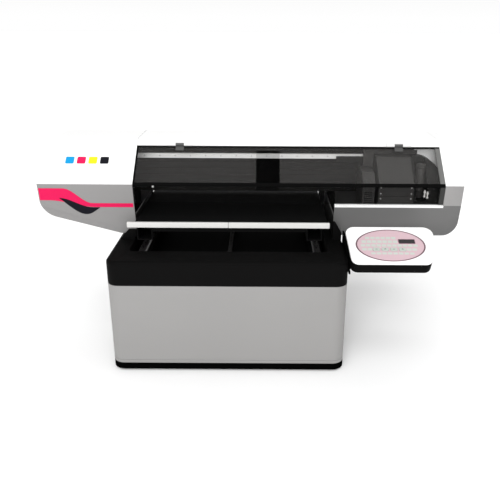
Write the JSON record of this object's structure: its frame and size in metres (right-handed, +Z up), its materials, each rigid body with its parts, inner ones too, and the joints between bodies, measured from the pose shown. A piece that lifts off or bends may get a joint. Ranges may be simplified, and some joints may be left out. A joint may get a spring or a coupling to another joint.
{
  "type": "flatbed uv printer",
  "caption": "Floor-standing flatbed UV printer: cabinet base, sliding table, gantry with tinted hinged cover, rail-mounted print carriage and a side control panel.",
  "frame": {"origin": "on the floor, under the centre of the machine's bounding box", "axes": "+X to the operator's right along the gantry, +Y to the back, +Z up"},
  "size_m": [1.956, 1.04, 0.975],
  "materials": {
    "white_shell": "glossy white painted moulding",
    "silver_sheet": "satin silver-grey powder coat on sheet steel",
    "black_shell": "fine-textured black moulding",
    "black_steel": "satin black paint on steel",
    "black_table": "black anodised, fine blasted",
    "bright_aluminium": "satin clear anodised",
    "dark_beam": "dark grey anodised extrusion with grooves",
    "bright_steel": "ground bearing steel",
    "dark_casing": "dark grey satin casing",
    "rubber": "matt black rubber",
    "tinted_sheet": "smoke-tinted clear sheet, polished",
    "keypad_film": "pale pink-grey membrane with a darker edge",
    "key_film": "grey-green pressed keys",
    "display": "dark display window"
  },
  "bodies": {
    "base": {"left_housing": "white_shell", "right_housing": "white_shell", "top_cover": "white_shell", "rear_cover": "white_shell", "panel_top": "white_shell", "cabinet_shell": "silver_sheet", "cabinet_back_panel": "silver_sheet", "plinth": "black_shell", "top_rim": "black_shell", "panel_tray": "black_shell", "power_inlet": "black_shell", "chassis_frame": "black_steel", "deck_plate": "black_steel", "upright_left": "black_steel", "upright_right": "black_steel", "panel_bracket": "black_steel", "roof_hinge_left": "black_steel", "roof_hinge_right": "black_steel", "x_motor": "black_steel", "y_motor": "black_steel", "cap_stand": "black_steel", "x_rail": "bright_aluminium", "screw_bearing_front": "bright_aluminium", "gantry_beam": "dark_beam", "y_rail_left": "bright_steel", "y_rail_right": "bright_steel", "control_box": "dark_casing", "vacuum_blower": "dark_casing", "ink_tanks": "dark_casing", "levelling_foot_front_left": "rubber", "levelling_foot_front_right": "rubber", "levelling_foot_back_left": "rubber", "levelling_foot_back_right": "rubber", "x_belt": "rubber", "panel_keypad": "keypad_film", "panel_display": "display"},
    "table": {"table_frame": "black_table", "table_plate": "black_table", "table_nose": "bright_aluminium", "table_block_left": "bright_steel", "table_block_right": "bright_steel", "screw_nut": "bright_steel"},
    "y_screw": {"y_screw": "bright_steel"},
    "carriage": {"carriage_plate": "dark_casing", "carriage_block": "bright_steel", "carriage_housing": "dark_casing", "print_heads": "black_steel", "uv_lamp": "dark_casing"},
    "drive_pulley": {"drive_pulley": "bright_steel"},
    "idler_pulley": {"idler_pulley": "bright_steel"},
    "cover": {"front_cover": "tinted_sheet", "cover_hinge_left": "black_steel", "cover_hinge_right": "black_steel"},
    "cover_knob": {"cover_knob": "bright_aluminium"},
    "cap_tray": {"cap_tray": "rubber"},
    "main_switch": {"main_switch": "black_shell"},
    "panel_key_1": {"panel_key_1": "key_film"},
    "panel_key_2": {"panel_key_2": "key_film"},
    "panel_key_3": {"panel_key_3": "key_film"},
    "panel_key_4": {"panel_key_4": "key_film"}
  },
  "joints": [
    {"name": "table_slide", "type": "slide", "parent": "base", "child": "table", "axis": [0, -1, 0], "range_m": [0, 0.5]},
    {"name": "y_screw_spin", "type": "hinge", "parent": "base", "child": "y_screw", "pos_m": [-0.097, 0, 0.484], "axis": [0, 1, 0], "continuous": true},
    {"name": "carriage_slide", "type": "slide", "parent": "base", "child": "carriage", "axis": [-1, 0, 0], "range_m": [0, 1.19]},
    {"name": "drive_pulley_spin", "type": "hinge", "parent": "base", "child": "drive_pulley", "pos_m": [-0.9, 0.088, 0.913], "axis": [0, 0, 1], "continuous": true},
    {"name": "idler_pulley_spin", "type": "hinge", "parent": "base", "child": "idler_pulley", "pos_m": [0.9, 0.088, 0.913], "axis": [0, 0, 1], "continuous": true},
    {"name": "cover_hinge", "type": "hinge", "parent": "base", "child": "cover", "pos_m": [0.181, -0.0517, 0.95343], "axis": [-1, 0, 0], "range_deg": [0, 90]},
    {"name": "cover_knob_turn", "type": "hinge", "parent": "cover", "child": "cover_knob", "pos_m": [-0.446, -0.2196, 0.793], "axis": [0, -1, 0], "range_deg": [0, 90]},
    {"name": "cap_lift", "type": "slide", "parent": "base", "child": "cap_tray", "axis": [0, 0, 1], "range_m": [0, 0.012]},
    {"name": "main_switch_rock", "type": "hinge", "parent": "base", "child": "main_switch", "pos_m": [0.258, 0.512, 0.196], "axis": [1, 0, 0], "range_deg": [0, 14]},
    {"name": "panel_key_1_press", "type": "slide", "parent": "base", "child": "panel_key_1", "axis": [0, 0.4226, -0.9063], "range_m": [0, 0.0016], "stiffness_N_per_m": 300, "springref_m": -0.002},
    {"name": "panel_key_2_press", "type": "slide", "parent": "base", "child": "panel_key_2", "axis": [0, 0.4226, -0.9063], "range_m": [0, 0.0016], "stiffness_N_per_m": 300, "springref_m": -0.002},
    {"name": "panel_key_3_press", "type": "slide", "parent": "base", "child": "panel_key_3", "axis": [0, 0.4226, -0.9063], "range_m": [0, 0.0016], "stiffness_N_per_m": 300, "springref_m": -0.002},
    {"name": "panel_key_4_press", "type": "slide", "parent": "base", "child": "panel_key_4", "axis": [0, 0.4226, -0.9063], "range_m": [0, 0.0016], "stiffness_N_per_m": 300, "springref_m": -0.002}
  ],
  "couplings": [
    {"joint": "y_screw_spin", "follows": "table_slide", "rad_per_m": 314.16},
    {"joint": "drive_pulley_spin", "follows": "carriage_slide", "rad_per_m": -51.8},
    {"joint": "idler_pulley_spin", "follows": "carriage_slide", "rad_per_m": -51.8}
  ]
}
